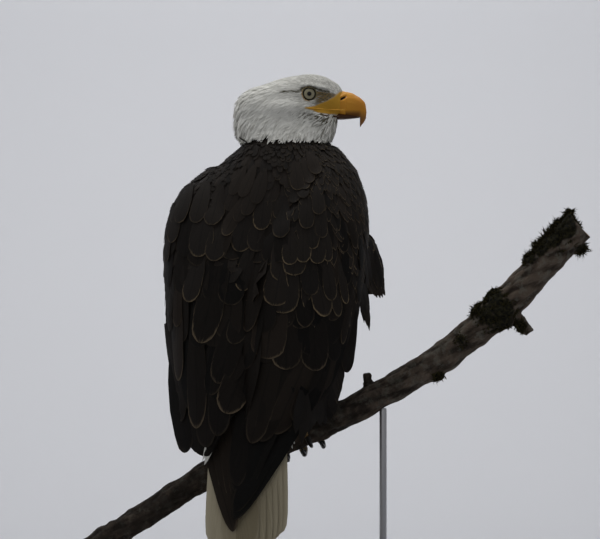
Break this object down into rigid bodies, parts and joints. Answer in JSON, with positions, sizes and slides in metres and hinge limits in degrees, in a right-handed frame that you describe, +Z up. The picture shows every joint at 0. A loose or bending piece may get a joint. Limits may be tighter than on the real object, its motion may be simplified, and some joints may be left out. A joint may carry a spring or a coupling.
{
  "type": "bald eagle display model",
  "caption": "Life-size still bald eagle perched on a cut length of branch, head turned to its right, wings folded, on a flat display base with short rods.",
  "frame": {"origin": "middle of the stand base's underside, on the surface that the model stands on", "axes": "+Z up; the head looks along +X; the body faces away along +Y, turned 15 degrees towards +X; the tail hangs towards -Y"},
  "size_m": [0.8436, 0.3217, 0.8588],
  "materials": {
    "white_plumage": "soft white feathers, matt",
    "brown_plumage": "blackish-brown feathers with paler edges, matt",
    "dark_plumage": "near-black flight feathers, satin",
    "bill_horn": "orange-yellow horn, satin",
    "cere_skin": "yellow waxy skin",
    "eye": "pale yellow iris under a wet clear cornea",
    "leg_skin": "yellow scaly skin",
    "claw_horn": "black horn, satin",
    "bark": "weathered dark bark with moss",
    "stand_wood": "dark oiled hardwood, satin",
    "stand_steel": "brushed steel"
  },
  "bodies": {
    "root": {"head": "white_plumage", "neck": "white_plumage", "trunk": "brown_plumage", "flank_right": "brown_plumage", "wing_right_coverts": "brown_plumage", "wing_right_secondaries": "brown_plumage", "wing_right_primaries": "dark_plumage", "wing_left_coverts": "brown_plumage", "wing_left_secondaries": "brown_plumage", "wing_left_primaries": "dark_plumage", "tail": "white_plumage", "tail_coverts": "white_plumage", "thigh_right": "brown_plumage", "thigh_left": "brown_plumage", "bill_upper": "bill_horn", "bill_lower": "bill_horn", "cere": "cere_skin", "eye_right": "eye", "eye_left": "eye", "shank_right": "leg_skin", "shank_left": "leg_skin", "toe_inner_right": "leg_skin", "toe_middle_right": "leg_skin", "toe_outer_right": "leg_skin", "toe_hind_right": "leg_skin", "toe_inner_left": "leg_skin", "toe_middle_left": "leg_skin", "toe_outer_left": "leg_skin", "toe_hind_left": "leg_skin", "claw_inner_right": "claw_horn", "claw_middle_right": "claw_horn", "claw_outer_right": "claw_horn", "claw_hind_right": "claw_horn", "claw_inner_left": "claw_horn", "claw_middle_left": "claw_horn", "claw_outer_left": "claw_horn", "claw_hind_left": "claw_horn", "perch": "bark", "stand_base": "stand_wood", "stand_rod_inner": "stand_steel", "stand_rod_outer": "stand_steel"}
  },
  "joints": []
}
